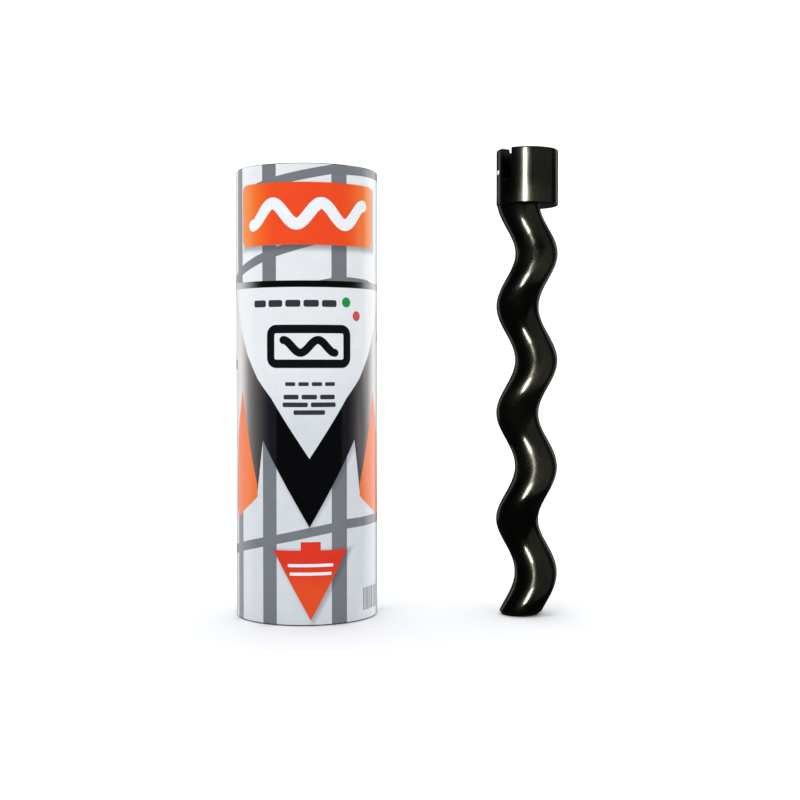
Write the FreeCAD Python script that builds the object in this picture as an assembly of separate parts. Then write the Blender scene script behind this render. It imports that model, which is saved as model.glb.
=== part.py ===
"""Eccentric-screw pump set: a steel-cased stator with a moulded rubber liner, and its screw rotor.

The stator stands on its outlet end at the origin, +Z up towards its inlet.
The rotor stands on its tip beside it, at +X, with its slotted drive head on top.
All sizes are in millimetres.
"""

import FreeCAD, Part
import math
import os

# --- Pump geometry shared by the rotor and the stator cavity ---
ROTOR_DIAMETER = 23.0          # round section of the screw
ECCENTRICITY = 5.1             # distance of that section's centre from the screw's axis
ROTOR_PITCH = 58.0             # one turn of the single-start rotor, right-handed
CAVITY_CLEARANCE = 0.2         # added to the cavity's width, so that the rotor can be screwed in

# --- Stator ---
STATOR_LENGTH = 240.0          # over the rubber lips
TUBE_OUTER_DIAMETER = 76.1
TUBE_WALL = 3.2
LIP_PROUD = 0.3                # rubber lip beyond each end of the tube
LIP_WALL = 6.0                 # radial width of a sealing lip, inwards from the tube's bore
LIP_STEP = 0.3                 # how far the lip stands above the liner's end face inside it
TUBE_EDGE_CHAMFER = 0.3
INLET_CONE_DEPTH = 14.0
INLET_CONE_RADIUS = 26.0
OUTLET_CONE_DEPTH = 8.0
OUTLET_CONE_RADIUS = 23.5
LABEL_THICKNESS = 0.2
LABEL_MARGIN = 0.4             # bare steel at each end of the label

# --- Rotor ---
ROTOR_X = 120.0                # where the rotor's axis stands
HEAD_DIAMETER = 33.4
HEAD_HEIGHT = 30.0
HELIX_LENGTH = 222.0           # from the tip to the underside of the head
TIP_ANGLE = -144.5             # where the section's centre lies at the tip, from +X
TIP_CHAMFER = 2.0
CENTRE_DRILL_DIAMETER = 4.0
CENTRE_DRILL_DEPTH = 5.0
CENTRE_DRILL_END_RADIUS = 0.5  # at the bottom of the centre drilling
SOCKET_RADIUS = 10.5
SOCKET_DEPTH = 24.0
SOCKET_MOUTH_CHAMFER = 0.8
SLOT_WIDTH = 7.4
SLOT_DEPTH = 18.0              # from the rim to the bottom of its round end
SLOT_ANGLE = 221.0             # direction of the slot across the head, from +X
HEAD_EDGE_CHAMFER = 0.8
SPIGOT_RADIUS = 7.0            # turned end of the screw that is welded into the head
SPIGOT_HEIGHT = 5.0
PIN_DIAMETER = 2.6
PIN_ANGLE = 194.5              # direction of the locking pin, from +X, clear of the slot
PIN_DEPTH = 4.0                # how far the pin is pressed into the head's wall
PIN_DROP = 12.5                # from the rim down to the pin
PIN_PROUD = 0.3
PIN_CHAMFER = 0.27

# --- Construction ---
OVERCUT = 1.0                  # how far a cutting body reaches beyond the face it opens
GUIDE_RADIUS = 1.0             # helix that turns a section while it is swept

UP = FreeCAD.Vector(0, 0, 1)
TUBE_RADIUS = TUBE_OUTER_DIAMETER / 2
BORE_RADIUS = TUBE_RADIUS - TUBE_WALL
TUBE_LENGTH = STATOR_LENGTH - 2 * LIP_PROUD
CAVITY_WIDTH = ROTOR_DIAMETER + CAVITY_CLEARANCE
CAVITY_TRAVEL = 4 * ECCENTRICITY
STATOR_PITCH = 2 * ROTOR_PITCH
HEAD_RADIUS = HEAD_DIAMETER / 2
HEAD_TOP = HELIX_LENGTH + HEAD_HEIGHT


def point(x, y, z):
    return FreeCAD.Vector(x, y, z)


def polar(radius, angle, z):
    """Point at a radius and an angle in degrees about the origin."""
    turn = math.radians(angle)
    return point(radius * math.cos(turn), radius * math.sin(turn), z)


def revolve(profile):
    """Solid of revolution about Z from (radius, height) corners."""
    corners = [point(radius, 0, z) for radius, z in profile]
    face = Part.Face(Part.makePolygon(corners + corners[:1]))
    return face.revolve(point(0, 0, 0), UP, 360)


def sweep_twisted(section, length, pitch):
    """Sweep a horizontal section up Z while it turns right-handed, once per pitch."""
    spine = Part.Wire(Part.makeLine(point(0, 0, 0), point(0, 0, length)))
    guide = Part.Wire(Part.makeHelix(pitch, length, GUIDE_RADIUS).Edges)
    shell = Part.BRepOffsetAPI.MakePipeShell(spine)
    shell.setAuxiliarySpine(guide, True, 0)
    shell.add(section)
    shell.build()
    shell.makeSolid()
    return shell.shape()


def stadium(width, travel):
    """Closed outline: two half circles joined by two flats, long way along X."""
    radius = width / 2
    half = travel / 2
    right = Part.Arc(point(half, -radius, 0), point(half + radius, 0, 0), point(half, radius, 0))
    left = Part.Arc(point(-half, radius, 0), point(-half - radius, 0, 0), point(-half, -radius, 0))
    top = Part.LineSegment(point(half, radius, 0), point(-half, radius, 0))
    bottom = Part.LineSegment(point(-half, -radius, 0), point(half, -radius, 0))
    return Part.Wire([edge.toShape() for edge in (right, top, left, bottom)])


def stator_tube():
    """Steel tube with lightly chamfered ends."""
    low = LIP_PROUD
    high = LIP_PROUD + TUBE_LENGTH
    chamfer = TUBE_EDGE_CHAMFER
    return revolve([
        (BORE_RADIUS, low),
        (TUBE_RADIUS - chamfer, low),
        (TUBE_RADIUS, low + chamfer),
        (TUBE_RADIUS, high - chamfer),
        (TUBE_RADIUS - chamfer, high),
        (BORE_RADIUS, high),
    ])


def stator_liner():
    """Rubber moulded into the tube, with a two-start cavity and a sealing lip at each end."""
    lip_inside = BORE_RADIUS - LIP_WALL
    body = revolve([
        (0, LIP_STEP),
        (lip_inside - LIP_STEP, LIP_STEP),
        (lip_inside, 0),
        (BORE_RADIUS, 0),
        (BORE_RADIUS, STATOR_LENGTH),
        (lip_inside, STATOR_LENGTH),
        (lip_inside - LIP_STEP, STATOR_LENGTH - LIP_STEP),
        (0, STATOR_LENGTH - LIP_STEP),
    ])
    cavity = sweep_twisted(stadium(CAVITY_WIDTH, CAVITY_TRAVEL), STATOR_LENGTH, STATOR_PITCH)
    core_radius = CAVITY_WIDTH / 2
    inlet = revolve([
        (0, STATOR_LENGTH + OVERCUT),
        (INLET_CONE_RADIUS + OVERCUT, STATOR_LENGTH + OVERCUT),
        (INLET_CONE_RADIUS, STATOR_LENGTH - LIP_STEP),
        (core_radius, STATOR_LENGTH - INLET_CONE_DEPTH),
        (0, STATOR_LENGTH - INLET_CONE_DEPTH),
    ])
    outlet = revolve([
        (0, -OVERCUT),
        (OUTLET_CONE_RADIUS + OVERCUT, -OVERCUT),
        (OUTLET_CONE_RADIUS, LIP_STEP),
        (core_radius, OUTLET_CONE_DEPTH),
        (0, OUTLET_CONE_DEPTH),
    ])
    return body.cut(cavity).cut(inlet).cut(outlet)


def label_wrap():
    """Printed film wrapped round the tube."""
    low = LIP_PROUD + LABEL_MARGIN
    high = STATOR_LENGTH - low
    outside = TUBE_RADIUS + LABEL_THICKNESS
    return revolve([(TUBE_RADIUS, low), (outside, low), (outside, high), (TUBE_RADIUS, high)])


def rotor_screw():
    """Round steel section swept along a right-handed helix, on its own axis."""
    radius = ROTOR_DIAMETER / 2
    centre = polar(ECCENTRICITY, TIP_ANGLE, 0)
    circle = Part.Wire(Part.makeCircle(radius, centre, UP))
    screw = sweep_twisted(circle, HELIX_LENGTH, ROTOR_PITCH)
    tip_cone = Part.makeCone(radius - TIP_CHAMFER, radius + TIP_CHAMFER, 2 * TIP_CHAMFER, centre)
    above_tip = Part.makeCylinder(ROTOR_DIAMETER, HELIX_LENGTH, point(0, 0, 2 * TIP_CHAMFER))
    centre_drill = Part.makeCone(CENTRE_DRILL_DIAMETER / 2, CENTRE_DRILL_END_RADIUS, CENTRE_DRILL_DEPTH)
    return screw.common(tip_cone.fuse(above_tip)).fuse(spigot()).cut(centre_drill)


def spigot():
    """Turned end of the screw, where it enters the head."""
    return Part.makeCylinder(SPIGOT_RADIUS, SPIGOT_HEIGHT, point(0, 0, HELIX_LENGTH))


def rotor_head():
    """Cup with a blind socket and a round-bottomed slot across it for the drive's cross pin."""
    edge = HEAD_EDGE_CHAMFER
    mouth = SOCKET_MOUTH_CHAMFER
    body = revolve([
        (0, HELIX_LENGTH),
        (HEAD_RADIUS - edge, HELIX_LENGTH),
        (HEAD_RADIUS, HELIX_LENGTH + edge),
        (HEAD_RADIUS, HEAD_TOP - edge),
        (HEAD_RADIUS - edge, HEAD_TOP),
        (SOCKET_RADIUS + mouth, HEAD_TOP),
        (SOCKET_RADIUS, HEAD_TOP - mouth),
        (SOCKET_RADIUS, HEAD_TOP - SOCKET_DEPTH),
        (0, HEAD_TOP - SOCKET_DEPTH),
    ])
    half_width = SLOT_WIDTH / 2
    bottom_centre = HEAD_TOP - SLOT_DEPTH + half_width
    reach = 2 * HEAD_DIAMETER
    round_bottom = Part.makeCylinder(half_width, reach, point(-reach / 2, 0, bottom_centre), point(1, 0, 0))
    straight = Part.makeBox(reach, SLOT_WIDTH, SLOT_DEPTH, point(-reach / 2, -half_width, bottom_centre))
    slot = round_bottom.fuse(straight)
    slot.rotate(point(0, 0, 0), UP, SLOT_ANGLE)
    return body.cut(slot).cut(spigot()).cut(locking_pin())


def locking_pin():
    """Small hardened pin pressed into the wall of the head, its end just proud of it."""
    outward = polar(1, PIN_ANGLE, 0)
    height = HEAD_TOP - PIN_DROP
    start = outward * (HEAD_RADIUS - PIN_DEPTH) + UP * height
    length = PIN_DEPTH + PIN_PROUD
    pin = Part.makeCylinder(PIN_DIAMETER / 2, length, start, outward)
    return pin.makeChamfer(PIN_CHAMFER, [pin.Edges[0]])


def write(node, shape, x=0.0):
    """Place a finished solid and write its file."""
    shape.translate(point(x, 0, 0))
    solid = shape.Solids[0]
    print(node, "valid", solid.isValid(), "closed", solid.isClosed(), "solids", len(shape.Solids),
          "volume", round(solid.Volume, 1))
    solid.exportStep(os.path.join("parts", node + ".step"))


os.makedirs("parts", exist_ok=True)
write("stator_tube", stator_tube())
write("stator_liner", stator_liner())
write("label_wrap", label_wrap())
write("rotor_screw", rotor_screw(), ROTOR_X)
write("rotor_head", rotor_head(), ROTOR_X)
write("locking_pin", locking_pin(), ROTOR_X)
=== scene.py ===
"""Looks of the pump set: a labelled stator barrel with a rubber liner, and its blackened screw rotor.

Lengths are in metres in the model's frame unless a name says mm. The label's artwork is drawn flat,
in millimetres: u runs to the viewer's right along the film and z runs up from the outlet end.
"""

import bmesh
import bpy
import math
from mathutils import Matrix, Vector


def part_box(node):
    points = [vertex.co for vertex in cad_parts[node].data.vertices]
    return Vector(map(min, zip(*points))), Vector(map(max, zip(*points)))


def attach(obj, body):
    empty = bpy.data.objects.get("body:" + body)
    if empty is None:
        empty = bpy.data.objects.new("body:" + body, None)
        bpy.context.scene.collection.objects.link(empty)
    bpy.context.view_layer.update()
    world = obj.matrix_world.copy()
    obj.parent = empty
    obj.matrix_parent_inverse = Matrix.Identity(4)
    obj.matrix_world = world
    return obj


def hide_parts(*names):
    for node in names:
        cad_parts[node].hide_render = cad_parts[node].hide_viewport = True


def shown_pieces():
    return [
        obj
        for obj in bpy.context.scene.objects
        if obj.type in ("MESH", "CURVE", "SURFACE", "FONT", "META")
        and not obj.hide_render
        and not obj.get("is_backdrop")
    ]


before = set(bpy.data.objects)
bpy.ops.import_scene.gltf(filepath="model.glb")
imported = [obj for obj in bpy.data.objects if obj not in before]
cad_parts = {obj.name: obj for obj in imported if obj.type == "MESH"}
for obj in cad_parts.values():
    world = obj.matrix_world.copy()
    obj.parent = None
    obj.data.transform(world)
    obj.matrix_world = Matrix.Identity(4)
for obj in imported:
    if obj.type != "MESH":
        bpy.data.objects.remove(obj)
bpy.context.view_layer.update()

MM = 0.001

# --- Places read from the frame ---
film_low, film_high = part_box("label_wrap")
liner_low, liner_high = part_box("stator_liner")
head_low, head_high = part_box("rotor_head")
screw_low, screw_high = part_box("rotor_screw")
pin_low, pin_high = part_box("locking_pin")
FILM_RADIUS = film_high.x
FILM_THICKNESS = FILM_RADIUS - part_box("stator_tube")[1].x
BORE_RADIUS = liner_high.x
ROTOR_X = (head_low.x + head_high.x) / 2
HEAD_RADIUS = (head_high.x - head_low.x) / 2
HEAD_BOTTOM = head_low.z
HEAD_TOP = head_high.z

# --- Pump geometry, as in the design ---
SECTION_RADIUS = 11.5 * MM
ECCENTRICITY = 5.1 * MM
ROTOR_PITCH = 58 * MM
CAVITY_RADIUS = 11.6 * MM
TIP_ANGLE = math.radians(-144.5)
TIP_CHAMFER = 2 * MM
CENTRE_DRILL_RADIUS = 2 * MM
CENTRE_DRILL_DEPTH = 5 * MM
LIP_WALL = 6 * MM
LIP_STEP = 0.3 * MM
INLET_CONE = (14 * MM, 26 * MM)        # depth, radius at the mouth
OUTLET_CONE = (8 * MM, 23.5 * MM)
SOCKET_RADIUS = 10.5 * MM
SOCKET_DEPTH = 24 * MM
SLOT_WIDTH = 7.4 * MM
SLOT_DEPTH = 18 * MM
SLOT_ANGLE = math.radians(221)
PIN_ANGLE = math.radians(194.5)
PIN_RADIUS = 1.3 * MM
PIN_LENGTH = 4 * MM
PIN_PROUD = 0.3 * MM

# --- Camera, level with the middle of the set ---
CAMERA_PLACE = Vector((0.0508, -0.702, 0.1349))
CAMERA_TILT = math.radians(-1.5)
CAMERA_LENS = 57.85

# --- Label ---
ART_TURN = math.atan2(CAMERA_PLACE.x, -CAMERA_PLACE.y) + 1.2 * MM / FILM_RADIUS
WRAP_STEP_MM = 1.5
INK_THICKNESS = 0.02 * MM
INK_LAYER_STEP = 0.01 * MM
SEAM_LAP_MM = 7


# ---------------------------------------------------------------- node helpers

class Nodes:
    """Short-hand for building one material's node tree."""

    def __init__(self, name):
        self.material = bpy.data.materials.new(name)
        self.material.use_nodes = True
        self.tree = self.material.node_tree
        self.shader = self.tree.nodes["Principled BSDF"]

    def add(self, kind, **settings):
        node = self.tree.nodes.new(kind)
        for key, value in settings.items():
            setattr(node, key, value)
        return node

    def link(self, source, target):
        self.tree.links.new(source, target)

    def put(self, value, socket):
        """Link an output to an input, or set the input to a plain value."""
        if isinstance(value, bpy.types.NodeSocket):
            self.link(value, socket)
        else:
            socket.default_value = value

    def fill(self, node, **inputs):
        """Link or set a node's inputs by name; spaces in names are written as underscores."""
        for key, value in inputs.items():
            self.put(value, node.inputs[key.replace("_", " ")])
        return node

    def math(self, operation, first, second=0.0):
        node = self.add("ShaderNodeMath", operation=operation)
        self.put(first, node.inputs[0])
        self.put(second, node.inputs[1])
        return node.outputs[0]

    def ramp(self, value, low, high, to_low=0.0, to_high=1.0):
        """Map a value smoothly from low..high to to_low..to_high."""
        node = self.add("ShaderNodeMapRange", interpolation_type="SMOOTHSTEP")
        self.fill(node, Value=value, From_Min=low, From_Max=high, To_Min=to_low, To_Max=to_high)
        return node.outputs["Result"]

    def mix(self, factor, first, second, blend="MIX"):
        """Blend two colours; the numbers are the colour sockets of the mix node."""
        node = self.add("ShaderNodeMix", data_type="RGBA", blend_type=blend)
        self.put(factor, node.inputs[0])
        self.put(first, node.inputs[6])
        self.put(second, node.inputs[7])
        return node.outputs[2]

    def place(self, stretch=(1, 1, 1)):
        """Object coordinates, stretched; a small factor makes a pattern long along that axis."""
        coordinates = self.add("ShaderNodeTexCoord")
        mapping = self.add("ShaderNodeMapping")
        self.link(coordinates.outputs["Object"], mapping.inputs["Vector"])
        mapping.inputs["Scale"].default_value = stretch
        return mapping.outputs["Vector"]

    def noise(self, scale, detail=3.0, vector=None):
        node = self.add("ShaderNodeTexNoise")
        self.fill(node, Scale=scale, Detail=detail, Vector=vector or self.place())
        return node.outputs["Fac"]

    def bump(self, height, distance, strength=1.0, under=None):
        node = self.add("ShaderNodeBump")
        self.fill(node, Height=height, Distance=distance, Strength=strength)
        if under is not None:
            self.link(under, node.inputs["Normal"])
        return node.outputs["Normal"]


def linear(value):
    """Linear light from a screen value of 0..255, by the sRGB curve."""
    if value > 10:
        return ((value / 255 + 0.055) / 1.055) ** 2.4
    return value / 3295


def rgb(red, green, blue):
    return (linear(red), linear(green), linear(blue), 1)


# ---------------------------------------------------------------- colours

FILM_WHITE = rgb(236, 238, 239)
# painted shade: the greyer white given to the lower part of the film
FILM_WHITE_PAINTED_SHADE = rgb(219, 223, 227)
LATTICE_GREY = rgb(122, 126, 131)
HEADER_ORANGE = rgb(249, 70, 0)
# painted sheen: the lighter orange towards the panel's ends
HEADER_ORANGE_PAINTED_SHEEN = rgb(248, 134, 24)
FLASH_ORANGE = rgb(246, 116, 44)
ARROW_ORANGE = rgb(232, 42, 0)
ARROW_ORANGE_LOW = rgb(242, 74, 0)
INK_BLACK = rgb(4, 4, 9)
# pale grey round the sides, partly the print's own fade and partly painted sheen
WING_PRINT_AND_SHEEN_GREY = rgb(222, 218, 214)
# painted sheen: the pale grey the black line fades to at the sides
LINE_PAINTED_SHEEN_GREY = rgb(186, 187, 188)
MOTIF_WHITE = rgb(246, 248, 250)
ICON_BLACK = rgb(12, 12, 24)
TEXT_GREY = rgb(54, 54, 60)
STRIPE_GREY = rgb(120, 122, 126)
DOT_GREEN = rgb(24, 150, 62)
DOT_RED = rgb(208, 70, 62)
PRINTED_SHADOW = rgb(70, 74, 82)
WING_INNER = rgb(24, 22, 33)
# brown-grey of the wing's sideways fade, partly print and partly painted sheen
WING_MIDDLE = rgb(122, 116, 113)


# ---------------------------------------------------------------- materials

def film_finish(nodes, colour):
    """Sheen of a laminated print over any colour: faint mottling, orange peel and scuffs."""
    mottle = nodes.noise(140, 4)
    scuffs = nodes.noise(700, 5, nodes.place((1, 1, 0.4)))
    shade = nodes.math("ADD", nodes.ramp(mottle, 0.3, 0.7, -0.035, 0.0), 1.0)
    peel = nodes.bump(nodes.noise(420, 2), 0.02 * MM, 0.5)
    nodes.fill(nodes.shader, Base_Color=nodes.mix(1.0, colour, shade, "MULTIPLY"), Normal=peel,
               Roughness=nodes.ramp(scuffs, 0.4, 0.75, 0.28, 0.35))
    nodes.shader.inputs["Coat Weight"].default_value = 0.5
    nodes.shader.inputs["Coat Roughness"].default_value = 0.2
    return nodes.material


def art_place(nodes):
    """The artwork's u and z in millimetres."""
    node = nodes.add("ShaderNodeUVMap", uv_map="art")
    split = nodes.add("ShaderNodeSeparateXYZ")
    nodes.link(node.outputs["UV"], split.inputs[0])
    return split.outputs["X"], split.outputs["Y"]


def convex_distance(nodes, u, z, corners):
    """Distance outside a convex outline, as the largest distance over its sides."""
    largest = None
    for (u0, z0), (u1, z1) in zip(corners, corners[1:] + corners[:1]):
        length = math.hypot(u1 - u0, z1 - z0)
        nu, nz = (z1 - z0) / length, -(u1 - u0) / length
        side = nodes.math("ADD", nodes.math("MULTIPLY", u, nu), nodes.math("MULTIPLY", z, nz))
        side = nodes.math("SUBTRACT", side, nu * u0 + nz * z0)
        largest = side if largest is None else nodes.math("MAXIMUM", largest, side)
    return largest


def printed_shadow(nodes, colour, casts):
    """Darken a colour with the soft printed shadows of convex shapes: (corners, spread, strength)."""
    u, z = art_place(nodes)
    for corners, spread, strength in casts:
        distance = convex_distance(nodes, u, z, corners)
        amount = nodes.ramp(distance, -0.5, spread, strength, 0.0)
        colour = nodes.mix(amount, colour, PRINTED_SHADOW)
    return colour


def plain_ink(name, colour):
    return film_finish(Nodes(name), colour)


def shadowed_ink(name, colour, casts):
    """One colour with printed shadows on it."""
    nodes = Nodes(name)
    return film_finish(nodes, printed_shadow(nodes, colour, casts))


def white_with_painted_low_shade(name, low, high, casts):
    """White film with painted shade: grey below the lower height, turning white by the upper one, with
    printed shadows on it.
    """
    nodes = Nodes(name)
    u, z = art_place(nodes)
    white = nodes.mix(nodes.ramp(z, low, high), FILM_WHITE_PAINTED_SHADE, FILM_WHITE)
    return film_finish(nodes, printed_shadow(nodes, white, casts))


def wing_ink():
    """Black at the chevron, fading through brown-grey to pale grey round the sides; the fade is partly the
    print's own and partly painted sheen.
    """
    nodes = Nodes("wing_ink")
    u, z = art_place(nodes)
    side = nodes.math("ABSOLUTE", u)
    dark = nodes.mix(nodes.ramp(side, 17.2, 17.9), INK_BLACK, WING_INNER)
    dark = nodes.mix(nodes.ramp(side, 20, 42), dark, WING_MIDDLE)
    return film_finish(nodes, nodes.mix(nodes.ramp(side, 35, 46), dark, WING_PRINT_AND_SHEEN_GREY))


def line_ink():
    """Black round the front, with painted sheen fading it to pale grey at the sides."""
    nodes = Nodes("line_ink")
    u, z = art_place(nodes)
    painted_sheen_fade = nodes.ramp(nodes.math("ABSOLUTE", u), 26, 49)
    return film_finish(nodes, nodes.mix(painted_sheen_fade, INK_BLACK, LINE_PAINTED_SHEEN_GREY))


def header_ink():
    """Orange-red, with painted sheen making it lighter towards both ends of the panel."""
    nodes = Nodes("header_ink")
    u, z = art_place(nodes)
    painted_sheen_fade = nodes.ramp(nodes.math("ABSOLUTE", u), 16, 42)
    return film_finish(nodes, nodes.mix(painted_sheen_fade, HEADER_ORANGE, HEADER_ORANGE_PAINTED_SHEEN))


def arrow_ink():
    """Orange-red above, more orange towards the point."""
    nodes = Nodes("arrow_ink")
    u, z = art_place(nodes)
    return film_finish(nodes, nodes.mix(nodes.ramp(z, 34, 16), ARROW_ORANGE, ARROW_ORANGE_LOW))


def rubber():
    """Moulded black rubber with a grey bloom and a fine grain."""
    nodes = Nodes("liner_rubber")
    bloom = nodes.ramp(nodes.noise(55, 6), 0.42, 0.75)
    colour = nodes.mix(bloom, rgb(30, 30, 32), rgb(62, 61, 60))
    grain = nodes.bump(nodes.noise(2600, 3), 0.04 * MM, 0.6)
    flow = nodes.bump(nodes.noise(160, 2, nodes.place((1, 1, 0.25))), 0.2 * MM, 0.4, grain)
    nodes.fill(nodes.shader, Base_Color=colour, Roughness=nodes.ramp(bloom, 0, 1, 0.42, 0.66), Normal=flow)
    nodes.shader.inputs["Specular IOR Level"].default_value = 0.4
    return nodes.material


def turned_steel():
    """Bare tube steel: rings from the parting tool across its ends and a thin brown bloom."""
    nodes = Nodes("tube_steel")
    rings = nodes.add("ShaderNodeTexWave", wave_type="RINGS", rings_direction="Z")
    nodes.fill(rings, Vector=nodes.place(), Scale=900.0, Distortion=0.6, Detail=1.0)
    stain = nodes.ramp(nodes.noise(70, 5), 0.5, 0.72)
    colour = nodes.mix(stain, rgb(168, 168, 166), rgb(126, 112, 100))
    nodes.fill(nodes.shader, Base_Color=colour, Normal=nodes.bump(rings.outputs["Fac"], 0.03 * MM, 0.5),
               Roughness=nodes.ramp(stain, 0, 1, 0.26, 0.5))
    nodes.shader.inputs["Metallic"].default_value = 1.0
    return nodes.material


def blackened_steel(name, mark_spacing, mark_depth):
    """Oiled black steel with machining marks along Z and faint scratches."""
    nodes = Nodes(name)
    marks = nodes.add("ShaderNodeTexWave", wave_type="BANDS", bands_direction="Z")
    nodes.fill(marks, Vector=nodes.place(), Scale=1 / (mark_spacing * 20), Distortion=0.8, Detail=2.0)
    blotch = nodes.noise(45, 5)
    scratches = nodes.noise(1500, 4, nodes.place((1, 1, 0.06)))
    colour = nodes.mix(nodes.ramp(blotch, 0.35, 0.7), rgb(54, 54, 48), rgb(70, 69, 61))
    normal = nodes.bump(marks.outputs["Fac"], mark_depth, 0.5)
    normal = nodes.bump(scratches, 0.012 * MM, 0.35, normal)
    roughness = nodes.math("ADD", nodes.ramp(blotch, 0.3, 0.75, 0.19, 0.27),
                           nodes.ramp(scratches, 0.55, 0.8, 0.0, 0.12))
    nodes.fill(nodes.shader, Base_Color=colour, Normal=normal, Roughness=roughness)
    nodes.shader.inputs["Metallic"].default_value = 1.0
    return nodes.material


def polished_pin():
    """Bright pin steel with a fine haze."""
    nodes = Nodes("pin_steel")
    haze = nodes.noise(2500, 4)
    nodes.fill(nodes.shader, Base_Color=nodes.mix(haze, rgb(190, 191, 193), rgb(222, 223, 224)),
               Roughness=nodes.ramp(haze, 0.3, 0.7, 0.35, 0.5))
    nodes.shader.inputs["Metallic"].default_value = 0.4
    return nodes.material


# ---------------------------------------------------------------- mesh helpers

def finish_mesh(name, mesh_bm, material, body, sharp_angle):
    """Turn a bmesh into a piece that rides on a body, smooth but for edges past an angle in degrees."""
    bmesh.ops.recalc_face_normals(mesh_bm, faces=mesh_bm.faces)
    mesh = bpy.data.meshes.new(name)
    mesh_bm.to_mesh(mesh)
    mesh_bm.free()
    piece = bpy.data.objects.new(name, mesh)
    bpy.context.collection.objects.link(piece)
    mesh.materials.append(material)
    mesh.shade_smooth()
    mesh.set_sharp_from_angle(angle=math.radians(sharp_angle))
    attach(piece, body)
    return piece


def bridge_rings(mesh_bm, rings, close=False):
    """Join rings of equal vertex counts with quads, and the last to the first if close."""
    loops = [[mesh_bm.verts.new(co) for co in ring] for ring in rings]
    pairs = list(zip(loops, loops[1:]))
    if close:
        pairs.append((loops[-1], loops[0]))
    count = len(loops[0])
    for lower, upper in pairs:
        for i in range(count):
            j = (i + 1) % count
            mesh_bm.faces.new((lower[i], lower[j], upper[j], upper[i]))
    return loops


def circle_points(radius, z, count, centre=(0.0, 0.0)):
    """Level ring of points round an axis."""
    step = math.tau / count
    return [(centre[0] + radius * math.cos(i * step), centre[1] + radius * math.sin(i * step), z)
            for i in range(count)]


def even_steps(start, stop, count):
    return [start + (stop - start) * i / count for i in range(count + 1)]


# ---------------------------------------------------------------- stator

def stadium_radius(angle):
    """Distance from the centre to the cavity's outline, for an angle from its long axis."""
    reach = 2 * ECCENTRICITY
    along, across = abs(math.cos(angle)), abs(math.sin(angle))
    if across > 1e-9 and CAVITY_RADIUS * along / across <= reach:
        return CAVITY_RADIUS / across
    return reach * along + math.sqrt(CAVITY_RADIUS ** 2 - (reach * across) ** 2)


def soft_max(first, second, blend):
    """Larger of two lengths, rounded off where they cross."""
    gap = max(blend - abs(first - second), 0.0) / blend
    return max(first, second) + gap * gap * blend / 4


def liner_radius(angle, z):
    """Wall of the cavity with its lead-in cones."""
    turn = math.tau * z / (2 * ROTOR_PITCH)
    radius = stadium_radius(angle - turn)
    inlet_depth, inlet_radius = INLET_CONE
    outlet_depth, outlet_radius = OUTLET_CONE
    from_top = (z - (liner_high.z - inlet_depth)) / inlet_depth
    from_bottom = (outlet_depth - z) / outlet_depth
    cone = CAVITY_RADIUS + max((inlet_radius - CAVITY_RADIUS) * from_top,
                               (outlet_radius - CAVITY_RADIUS) * from_bottom)
    return soft_max(radius, cone, 1.5 * MM)


def liner_piece(material):
    """Rubber body with the twisted cavity, cones and rounded lips."""
    segments = 144
    angles = [math.tau * i / segments for i in range(segments)]
    top, bottom = liner_high.z, liner_low.z
    lip = BORE_RADIUS - LIP_WALL
    rounding = 0.25 * MM
    rings = []

    def flat_ring(radius, z):
        rings.append([(radius * math.cos(a), radius * math.sin(a), z) for a in angles])

    flat_ring(BORE_RADIUS, bottom)
    flat_ring(lip + rounding, bottom)
    flat_ring(lip, bottom + rounding / 3)
    flat_ring(lip - LIP_STEP, bottom + LIP_STEP)
    inner_low, inner_high = bottom + LIP_STEP, top - LIP_STEP
    for z in even_steps(inner_low, inner_high, 170):
        wall = [(liner_radius(a, z), a) for a in angles]
        rings.append([(radius * math.cos(a), radius * math.sin(a), z) for radius, a in wall])
    flat_ring(lip - LIP_STEP, top - LIP_STEP)
    flat_ring(lip, top - rounding / 3)
    flat_ring(lip + rounding, top)
    flat_ring(BORE_RADIUS, top)
    body = bmesh.new()
    bridge_rings(body, rings, close=True)
    piece = finish_mesh("liner_moulding", body, material, "stator", 50)
    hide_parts("stator_liner")
    return piece


def on_barrel(u_mm, z_mm, radius):
    """Point on the barrel for a place on the artwork."""
    angle = -math.pi / 2 + ART_TURN + u_mm * MM / FILM_RADIUS
    return Vector((radius * math.cos(angle), radius * math.sin(angle), z_mm * MM))


def film_piece(material):
    """The film: one turn round the tube, its seam at the back."""
    half_turn = math.pi * FILM_RADIUS / MM
    low, high = film_low.z / MM, film_high.z / MM
    inner = FILM_RADIUS - FILM_THICKNESS
    body = bmesh.new()
    art = body.loops.layers.uv.new("art")
    columns = even_steps(-half_turn, half_turn, 160)
    rows = even_steps(low, high, 40)
    tube = [[body.verts.new(on_barrel(u, z, FILM_RADIUS)) for z in rows] for u in columns[:-1]]
    count = len(tube)
    for i in range(count):
        for j in range(len(rows) - 1):
            corners = ((i, j), ((i + 1) % count, j), ((i + 1) % count, j + 1), (i, j + 1))
            face = body.faces.new([tube[a][b] for a, b in corners])
            places = ((i, j), (i + 1, j), (i + 1, j + 1), (i, j + 1))
            for loop, (a, b) in zip(face.loops, places):
                loop[art].uv = (columns[a], rows[b])
    for j, side in ((0, low), (len(rows) - 1, high)):
        edge = [body.verts.new(on_barrel(u, side, inner)) for u in columns[:-1]]
        for i in range(count):
            face = body.faces.new((tube[i][j], tube[(i + 1) % count][j], edge[(i + 1) % count], edge[i]))
            for loop in face.loops:
                loop[art].uv = (columns[i], side)
    piece = finish_mesh("label_film", body, material, "stator", 40)
    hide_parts("label_wrap")
    return piece


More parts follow.
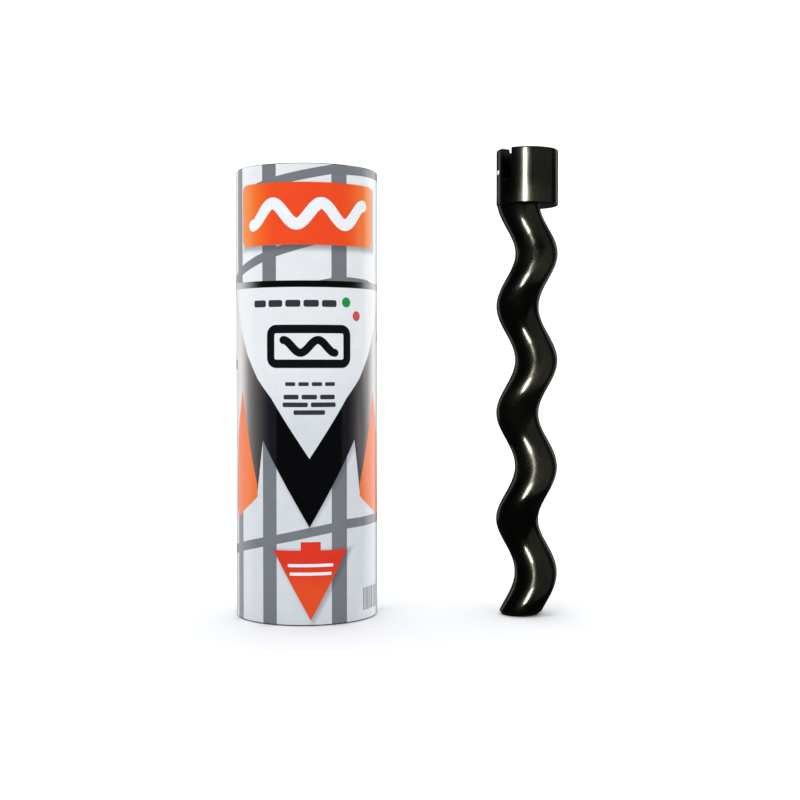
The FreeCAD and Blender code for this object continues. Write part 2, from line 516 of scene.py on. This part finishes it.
def print_piece(name, outlines, material, layer):
    """Lay flat outlines on the barrel as a thin closed skin; the first is outside, others are holes."""
    flat = bmesh.new()
    edges = []
    for outline in outlines:
        verts = [flat.verts.new((u, z, 0)) for u, z in outline]
        edges += [flat.edges.new(pair) for pair in zip(verts, verts[1:] + verts[:1])]
    bmesh.ops.triangle_fill(flat, edges=edges, use_beauty=True, normal=(0, 0, 1))
    low = min(u for u, z in outlines[0])
    high = max(u for u, z in outlines[0])
    for cut in range(math.ceil(low / WRAP_STEP_MM), math.floor(high / WRAP_STEP_MM) + 1):
        geometry = flat.verts[:] + flat.edges[:] + flat.faces[:]
        place = (cut * WRAP_STEP_MM, 0, 0)
        bmesh.ops.bisect_plane(flat, geom=geometry, plane_co=place, plane_no=(1, 0, 0))
    bmesh.ops.recalc_face_normals(flat, faces=flat.faces)
    art = flat.loops.layers.uv.new("art")
    for face in flat.faces:
        for loop in face.loops:
            loop[art].uv = loop.vert.co.xy
    skin = bmesh.ops.extrude_face_region(flat, geom=flat.faces[:])
    raised = {element for element in skin["geom"] if isinstance(element, bmesh.types.BMVert)}
    for face in flat.faces:
        for loop in face.loops:
            loop[art].uv = loop.vert.co.xy
    base = FILM_RADIUS + layer * INK_LAYER_STEP
    for vert in flat.verts:
        radius = base + (INK_THICKNESS if vert in raised else 0.0)
        vert.co = on_barrel(vert.co.x, vert.co.y, radius)
    return finish_mesh(name, flat, material, "stator", 30)


def arc(centre, radius, start, stop, count=8):
    """Points on an arc, angles in degrees, in artwork millimetres."""
    angles = [math.radians(a) for a in even_steps(start, stop, count)]
    return [(centre[0] + radius * math.cos(a), centre[1] + radius * math.sin(a)) for a in angles]


def rounded_box(left, bottom, right, top, radius):
    """Box with its corners rounded."""
    corners = (((right - radius, bottom + radius), -90), ((right - radius, top - radius), 0),
               ((left + radius, top - radius), 90), ((left + radius, bottom + radius), 180))
    return [place for centre, start in corners for place in arc(centre, radius, start, start + 90)]


def box(left, bottom, right, top):
    return [(left, bottom), (right, bottom), (right, top), (left, top)]


def band(centre_line, width):
    """Outline of a strip that follows a centre line of (u, z) points, cut upright at both ends."""
    half = width / 2
    return [(u, z - half) for u, z in centre_line] + [(u, z + half) for u, z in reversed(centre_line)]


def mirrored(points):
    """Right-hand outline followed by its mirror image, in order round the shape."""
    return points + [(-u, z) for u, z in reversed(points) if abs(u) > 1e-9]


# --- Artwork, as (u, z) in millimetres ---
LABEL_LOW = film_low.z / MM
LABEL_HIGH = film_high.z / MM
LINE_LOW, LINE_HIGH = 175.8, 179.2
HEADER = (-42.0, 197.6, 42.0, 229.8)
HEADER_CORNER = 4.5
CHEVRON_APEX = (0.0, 51.3)
CHEVRON_NOTCH = (25.8, 96.5)
PRONG_TIP = (30.0, 67.0)
SHIELD_SIDE = [(0.0, 87.0), (20.6, 118.4), (29.3, 128.2), (37.6, 141.0), (43.6, 153.5), (47.6, 164.0),
               (50.5, LINE_LOW)]
FLASH = [(29.6, 66.6), (34.5, 62.8), (49.5, 53.6), (52.5, 60.0), (50.0, 98.0), (43.0, 122.0), (38.0, 101.0),
         (29.9, 73.0)]
UPRIGHTS = ((-49.5, -42.8), (-25.9, -17.6), (11.8, 20.7), (61.0, 69.5), (92.0, 100.5), (-98.0, -89.5),
            (-71.0, -66.0))
RISER_WIDTH = 4.9
RISERS = (
    [(-40, 225.0), (-22, 229.6), (11.8, 236.6), (34.8, 237.4), (57, 237.2)],
    [(-57, 179.5), (-42.9, 185.5), (-20, 193.5), (3, 200.0)],
    [(-120, 151.0), (-85, 144.0), (-50, 135.0)],
    [(50, 150.0), (85, 158.0), (120, 167.0)],
    [(-120, 21.0), (-90, 28.0), (-57, 36.0)],
    [(57, 53.2), (88, 51.0), (120, 45.0)],
    [(-57, 36.0), (-25.8, 43.1), (1.1, 49.0), (21.3, 52.5), (47.4, 53.3), (57, 53.2)],
)
RISER_SLIVER = [(0.0, 178.2), (44.0, 178.2), (36.0, 180.6), (22.0, 181.4), (12.0, 180.7)]
ICON = (-23.0, 134.0, 23.0, 156.4)
ICON_STROKE = 4.4
ICON_CORNER = 5.4
ARROW_HALF = 19.9
ARROW_TOP = 39.4
ARROW_POINT = (0.6, 3.0)
ARROW_TAB_HALF = 5.2
ARROW_TAB_TOP = 43.8

# shapes that cast a soft printed shadow: corners anticlockwise, spread and strength
HEADER_SHADOW = (box(HEADER[0] + 2, HEADER[1] - 1.0, HEADER[2] + 1, HEADER[3] - 2), 3.4, 0.55)
ARROW_SHADOW = ([(ARROW_POINT[0] + 1.2, ARROW_POINT[1] + 1.0), (ARROW_HALF + 1.6, ARROW_TOP - 1.0),
                 (-ARROW_HALF + 2.5, ARROW_TOP - 1.0)], 3.2, 0.5)
CHEVRON_SHADOW = ([(CHEVRON_APEX[0] + 0.4, CHEVRON_APEX[1] + 1), (CHEVRON_NOTCH[0] + 1.4, CHEVRON_NOTCH[1]),
                   (-CHEVRON_NOTCH[0] + 1, CHEVRON_NOTCH[1])], 3.0, 0.35)
SHADOWS = [HEADER_SHADOW, ARROW_SHADOW, CHEVRON_SHADOW]


def lattice_prints(material):
    """Grey upright bars and the rising bars that cross them, all round the barrel."""
    for number, (left, right) in enumerate(UPRIGHTS):
        print_piece(f"print_upright_{number}", [box(left, LABEL_LOW, right, LABEL_HIGH)], material, 0)
    for number, line in enumerate(RISERS):
        outline = [(u, min(z, LABEL_HIGH)) for u, z in band(line, RISER_WIDTH)]
        print_piece(f"print_riser_{number}", [outline], material, 1)
    print_piece("print_riser_sliver", [RISER_SLIVER], material, 1)


def shield_prints(wing, shield, flash):
    """Dark chevron with two prongs, the white shield on it and the orange flashes beside it."""
    outer = [CHEVRON_APEX, CHEVRON_NOTCH, PRONG_TIP, (50.5, 60.0), (52.0, LINE_LOW)]
    print_piece("print_chevron", [mirrored(outer)], wing, 2)
    print_piece("print_shield", [mirrored(SHIELD_SIDE)], shield, 3)
    print_piece("print_flash_right", [FLASH], flash, 3)
    print_piece("print_flash_left", [[(-u, z) for u, z in reversed(FLASH)]], flash, 3)


def wave_outline(height, reach, waves, swing, thickness):
    """Outline of a wavy stripe with round ends, from -reach to reach along u."""
    turns = math.pi * waves / reach
    line = []
    for u in even_steps(-reach, reach, 80):
        lean = math.atan(swing * turns * math.cos(turns * u))
        line.append((u, height + swing * math.sin(turns * u), lean))
    half = thickness / 2
    upper = [(u - half * math.sin(lean), z + half * math.cos(lean)) for u, z, lean in line]
    lower = [(u + half * math.sin(lean), z - half * math.cos(lean)) for u, z, lean in line]

    def end_cap(place, start):
        u, z, lean = place
        turned = start + math.degrees(lean)
        return arc((u, z), half, turned, turned + 180, 10)[1:-1]

    return lower + end_cap(line[-1], -90) + upper[::-1] + end_cap(line[0], 90)


def header_prints(orange, white):
    """Header panel with a wavy screw motif in place of words."""
    left, bottom, right, top = HEADER
    print_piece("print_header", [rounded_box(left, bottom, right, top, HEADER_CORNER)], orange, 4)
    print_piece("print_header_wave", [wave_outline((bottom + top) / 2, 32.5, 2.5, 5.4, 6.1)], white, 5)


def icon_prints(black, grey, green, red):
    """Pictogram of a screw in its barrel, plain bars where ratings stand, and two dots."""
    left, bottom, right, top = ICON
    stroke = ICON_STROKE
    outside = rounded_box(left, bottom, right, top, ICON_CORNER)
    inside = rounded_box(left + stroke, bottom + stroke, right - stroke, top - stroke, ICON_CORNER - stroke)
    print_piece("print_icon_barrel", [outside, inside[::-1]], black, 4)
    print_piece("print_icon_screw", [wave_outline((bottom + top) / 2, 13.6, 1.5, 3.3, 4.2)], black, 4)
    rows = ((-31.6, 14.6, 167.4, 3.6, 5), (-12.6, 13.6, 125.7, 2.0, 4), (-13.5, 13.5, 119.0, 2.4, 3),
            (-14.0, 14.0, 115.0, 2.4, 2), (-8.2, 8.2, 111.0, 2.4, 1))
    gap = 1.6
    for row, (start, stop, z, height, words) in enumerate(rows):
        width = (stop - start - gap * (words - 1)) / words
        for word in range(words):
            u = start + word * (width + gap)
            bar = rounded_box(u, z - height / 2, u + width, z + height / 2, height * 0.3)
            print_piece(f"print_bar_{row}_{word}", [bar], grey, 4)
    for name, centre, material in (("green", (20.4, 168.2), green), ("red", (27.2, 161.2), red)):
        print_piece(f"print_dot_{name}", [arc(centre, 2.6, 0, 352.5, 47)], material, 4)


def arrow_prints(orange, pale, grey):
    """Flow arrow towards the outlet, two pale bars on it, and a block of plain stripes."""
    u, z = ARROW_POINT
    arrow = [(u, z), (u + ARROW_HALF, ARROW_TOP), (u + ARROW_TAB_HALF, ARROW_TOP),
             (u + ARROW_TAB_HALF, ARROW_TAB_TOP), (u - ARROW_TAB_HALF, ARROW_TAB_TOP),
             (u - ARROW_TAB_HALF, ARROW_TOP), (u - ARROW_HALF, ARROW_TOP)]
    print_piece("print_arrow", [arrow], orange, 4)
    for number, height in enumerate((31.6, 27.2)):
        bar = rounded_box(u - 12 + number, height - 0.8, u + 12 - number, height + 0.8, 0.5)
        print_piece(f"print_arrow_bar_{number}", [bar], pale, 5)
    widths = (0.9, 0.5, 1.3, 0.5, 0.9, 1.6, 0.5, 0.9, 1.3, 0.5)
    left = 32.6
    for number, width in enumerate(widths):
        print_piece(f"print_stripe_{number}", [box(left, 5.4, left + width, 17.4)], grey, 4)
        left += width + 0.75


# ---------------------------------------------------------------- rotor

def screw_centre(z):
    """Centre of the screw's round section at a height, on the rotor's own axis."""
    turn = TIP_ANGLE + math.tau * z / ROTOR_PITCH
    return (ROTOR_X + ECCENTRICITY * math.cos(turn), ECCENTRICITY * math.sin(turn))


def screw_piece(material):
    """Round section swept up the helix, with a chamfered and centre-drilled tip."""
    segments = 96
    tip, top = screw_low.z, HEAD_BOTTOM
    axis = (ROTOR_X, 0.0)
    rings = [
        circle_points(0.5 * MM, tip + CENTRE_DRILL_DEPTH, segments, axis),
        circle_points(CENTRE_DRILL_RADIUS, tip, segments, axis),
    ]
    for z in even_steps(0.0, TIP_CHAMFER, 2):
        rings.append(circle_points(SECTION_RADIUS - (TIP_CHAMFER - z), tip + z, segments, screw_centre(z)))
    for z in even_steps(TIP_CHAMFER, top, 260)[1:]:
        rings.append(circle_points(SECTION_RADIUS, tip + z, segments, screw_centre(z)))
    body = bmesh.new()
    loops = bridge_rings(body, rings)
    body.faces.new(loops[0][::-1])
    body.faces.new(loops[-1])
    piece = finish_mesh("screw_turned", body, material, "rotor", 35)
    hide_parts("rotor_screw")
    return piece


def head_profile():
    """(radius, height) corners of the head, with rounded outer edges."""
    soft = 0.9 * MM
    turns = even_steps(0, math.pi / 2, 4)
    corner = [(soft * (1 - math.cos(a)), soft * (1 - math.sin(a))) for a in turns]
    low = [(HEAD_RADIUS - du, HEAD_BOTTOM + dz) for du, dz in reversed(corner)]
    high = [(HEAD_RADIUS - du, HEAD_TOP - dz) for du, dz in corner]
    mouth = [(SOCKET_RADIUS + du, HEAD_TOP - dz) for du, dz in reversed(corner)]
    floor = HEAD_TOP - SOCKET_DEPTH
    return low + high + mouth + [(SOCKET_RADIUS, floor), (0.8 * MM, floor - 1.4 * MM)]


def slot_cutter():
    """Long bar with a round underside, where the slot crosses the head."""
    half_width = SLOT_WIDTH / 2
    outline = arc((0, 0), half_width, 180, 360, 16) + [(half_width, SLOT_DEPTH), (-half_width, SLOT_DEPTH)]
    base = HEAD_TOP - SLOT_DEPTH + half_width
    reach = 30 * MM
    body = bmesh.new()
    ends = [[(along, across, base + rise) for across, rise in outline] for along in (-reach, reach)]
    loops = bridge_rings(body, ends)
    body.faces.new(loops[0][::-1])
    body.faces.new(loops[1])
    bmesh.ops.recalc_face_normals(body, faces=body.faces)
    body.transform(Matrix.Translation((ROTOR_X, 0, 0)) @ Matrix.Rotation(SLOT_ANGLE, 4, "Z"))
    mesh = bpy.data.meshes.new("slot_cutter")
    body.to_mesh(mesh)
    body.free()
    cutter = bpy.data.objects.new("slot_cutter", mesh)
    bpy.context.collection.objects.link(cutter)
    return cutter


def head_piece(material):
    """Slotted cup, cut and then softened along its edges."""
    body = bmesh.new()
    rings = [circle_points(radius, z, 128, (ROTOR_X, 0.0)) for radius, z in head_profile()]
    loops = bridge_rings(body, rings)
    body.faces.new(loops[0][::-1])
    body.faces.new(loops[-1])
    piece = finish_mesh("head_turned", body, material, "rotor", 35)
    cutter = slot_cutter()
    cut = piece.modifiers.new("slot", "BOOLEAN")
    cut.object = cutter
    cut.solver = "EXACT"
    soften = piece.modifiers.new("edges", "BEVEL")
    soften.width = 0.45 * MM
    soften.segments = 3
    soften.limit_method = "ANGLE"
    soften.angle_limit = math.radians(50)
    soften.harden_normals = True
    apply_modifiers(piece)
    bpy.data.objects.remove(cutter)
    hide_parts("rotor_head")
    return piece


def apply_modifiers(piece):
    """Bake a piece's modifiers into its mesh."""
    view = bpy.context.evaluated_depsgraph_get()
    mesh = bpy.data.meshes.new_from_object(piece.evaluated_get(view))
    piece.modifiers.clear()
    piece.data = mesh


def pin_piece(material):
    """Domed end of the pin in the head's wall."""
    turns = even_steps(0, math.radians(84), 6)
    dome = [(PIN_RADIUS * math.cos(a), PIN_PROUD * math.sin(a)) for a in turns]
    profile = [(PIN_RADIUS, 0.0)] + [(radius, PIN_LENGTH + rise) for radius, rise in dome]
    body = bmesh.new()
    loops = bridge_rings(body, [circle_points(radius, z, 32) for radius, z in profile])
    body.faces.new(loops[0][::-1])
    body.faces.new(loops[-1])
    outward = Matrix.Rotation(PIN_ANGLE, 4, "Z") @ Matrix.Rotation(math.pi / 2, 4, "Y")
    foot = HEAD_RADIUS - PIN_LENGTH
    height = (pin_low.z + pin_high.z) / 2
    start = Vector((ROTOR_X + foot * math.cos(PIN_ANGLE), foot * math.sin(PIN_ANGLE), height))
    body.transform(Matrix.Translation(start) @ outward)
    piece = finish_mesh("pin_domed", body, material, "rotor", 40)
    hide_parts("locking_pin")
    return piece


# ---------------------------------------------------------------- studio

def floor_and_backdrop():
    """Pale floor that sweeps up into a backdrop."""
    body = bmesh.new()
    radius, depth, height, half = 0.8, 1.6, 2.6, 3.0
    turns = even_steps(0, math.pi / 2, 16)[1:]
    line = [(-2.0, 0.0), (depth, 0.0)]
    line += [(depth + radius * math.sin(a), radius * (1 - math.cos(a))) for a in turns]
    line.append((depth + radius, height))
    left = [body.verts.new((-half, y, z)) for y, z in line]
    right = [body.verts.new((half, y, z)) for y, z in line]
    for i in range(len(line) - 1):
        body.faces.new((left[i], right[i], right[i + 1], left[i + 1]))
    mesh = bpy.data.meshes.new("studio_floor")
    body.to_mesh(mesh)
    body.free()
    mesh.shade_smooth()
    floor = bpy.data.objects.new("studio_floor", mesh)
    bpy.context.collection.objects.link(floor)
    nodes = Nodes("studio_paper")
    paper = nodes.mix(nodes.noise(3, 2), rgb(246, 246, 247), rgb(250, 250, 250))
    nodes.fill(nodes.shader, Base_Color=paper)
    nodes.shader.inputs["Roughness"].default_value = 0.9
    nodes.shader.inputs["Specular IOR Level"].default_value = 0.0
    mesh.materials.append(nodes.material)
    floor.visible_glossy = False
    floor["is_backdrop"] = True
    return floor


def area_light(name, place, aim, width, height, power, receivers=None):
    light = bpy.data.lights.new(name, "AREA")
    light.shape = "RECTANGLE"
    light.size, light.size_y = width, height
    light.energy = power
    lamp = bpy.data.objects.new(name, light)
    lamp.location = place
    lamp.rotation_euler = (Vector(aim) - Vector(place)).to_track_quat("-Z", "Y").to_euler()
    bpy.context.collection.objects.link(lamp)
    if receivers:
        group = bpy.data.collections.new(name + "_receivers")
        for piece in receivers:
            group.objects.link(piece)
        lamp.light_linking.receiver_collection = group
    return lamp


def world_light():
    """White to the camera, soft grey to matt surfaces and dark in reflections."""
    world = bpy.data.worlds.new("studio")
    bpy.context.scene.world = world
    world.use_nodes = True
    tree = world.node_tree
    background = tree.nodes["Background"]
    path = tree.nodes.new("ShaderNodeLightPath")
    soft = tree.nodes.new("ShaderNodeMix")
    soft.data_type = "RGBA"
    soft.inputs[6].default_value = (0.74, 0.76, 0.79, 1)
    soft.inputs[7].default_value = (0.03, 0.03, 0.032, 1)
    white = tree.nodes.new("ShaderNodeMix")
    white.data_type = "RGBA"
    white.inputs[7].default_value = (1, 1, 1, 1)
    tree.links.new(path.outputs["Is Glossy Ray"], soft.inputs[0])
    tree.links.new(path.outputs["Is Camera Ray"], white.inputs[0])
    tree.links.new(soft.outputs[2], white.inputs[6])
    tree.links.new(white.outputs[2], background.inputs["Color"])


def camera():
    data = bpy.data.cameras.new("camera")
    data.lens = CAMERA_LENS
    data.sensor_width = 36
    data.clip_start = 0.01
    eye = bpy.data.objects.new("camera", data)
    eye.location = CAMERA_PLACE
    eye.rotation_euler = (math.pi / 2 + CAMERA_TILT, 0, 0)
    bpy.context.collection.objects.link(eye)
    bpy.context.scene.camera = eye


# ---------------------------------------------------------------- assembly

camera()
world_light()
floor = floor_and_backdrop()

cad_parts["stator_tube"].data.materials.clear()
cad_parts["stator_tube"].data.materials.append(turned_steel())
liner_piece(rubber())
# the film, shield and seam lap whites carry painted shade, greyer towards the bottom
film_piece(white_with_painted_low_shade("film_white", 60, 170, SHADOWS))
lattice_prints(shadowed_ink("lattice_grey", LATTICE_GREY, SHADOWS))
shield_prints(wing_ink(), white_with_painted_low_shade("shield_white", 95, 140, []),
              plain_ink("flash_orange", FLASH_ORANGE))
lap_start = math.pi * FILM_RADIUS / MM - SEAM_LAP_MM
print_piece("label_lap", [box(lap_start, LABEL_LOW + 0.2, lap_start + SEAM_LAP_MM, LABEL_HIGH - 0.2)],
            white_with_painted_low_shade("lap_white", 60, 170, []), 3)
print_piece("print_line", [box(-120, LINE_LOW, 120, LINE_HIGH)], line_ink(), 4)
motif_white = plain_ink("motif_white", MOTIF_WHITE)
header_prints(header_ink(), motif_white)
icon_prints(plain_ink("icon_black", ICON_BLACK), plain_ink("text_grey", TEXT_GREY),
            plain_ink("dot_green", DOT_GREEN), plain_ink("dot_red", DOT_RED))
arrow_prints(arrow_ink(), motif_white, plain_ink("stripe_grey", STRIPE_GREY))

rotor_pieces = [
    screw_piece(blackened_steel("rotor_steel", 0.0011, 0.000012)),
    head_piece(blackened_steel("head_steel", 0.0004, 0.000006)),
    pin_piece(polished_pin()),
]

middle = (0, 0, 0.13)
rotor_middle = (ROTOR_X, 0, 0.13)
stator_pieces = [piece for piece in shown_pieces() if piece not in rotor_pieces]
soft_key = area_light("soft_key", (-0.5, -1.2, 0.8), middle, 1.0, 1.0, 3)
soft_key.visible_glossy = False
area_light("side_left", (-0.55, 0.35, 0.2), middle, 0.75, 0.9, 1.5, stator_pieces)
area_light("side_right", (0.55, 0.35, 0.2), middle, 0.75, 0.9, 3.0, stator_pieces)
floor_wash = area_light("floor_wash", (0.05, 0.3, 1.6), (0.05, 0.4, 0), 2.2, 2.2, 14)
floor_wash.visible_glossy = False
area_light("backdrop_wash", (0.05, 0.6, 1.6), (0.05, 2.4, 0.9), 3.0, 1.6, 30, [floor])
area_light("rotor_strip", (-0.1, -0.93, 0.26), rotor_middle, 0.13, 0.8, 32, rotor_pieces)
area_light("rotor_top_strip", (-0.06, -0.6, 0.75), rotor_middle, 0.08, 0.3, 1.6, rotor_pieces)
area_light("rotor_panel", (0.85, -0.45, 0.35), rotor_middle, 1.4, 1.6, 2.0, rotor_pieces)
area_light("rotor_rim_left", (-0.55, 0.7, 0.2), rotor_middle, 0.2, 0.9, 0.5, rotor_pieces)
area_light("rotor_rim_right", (0.8, 0.7, 0.2), rotor_middle, 0.2, 0.9, 0.5, rotor_pieces)
for piece in stator_pieces:
    piece.visible_glossy = False
bpy.context.scene.view_settings.view_transform = "Standard"
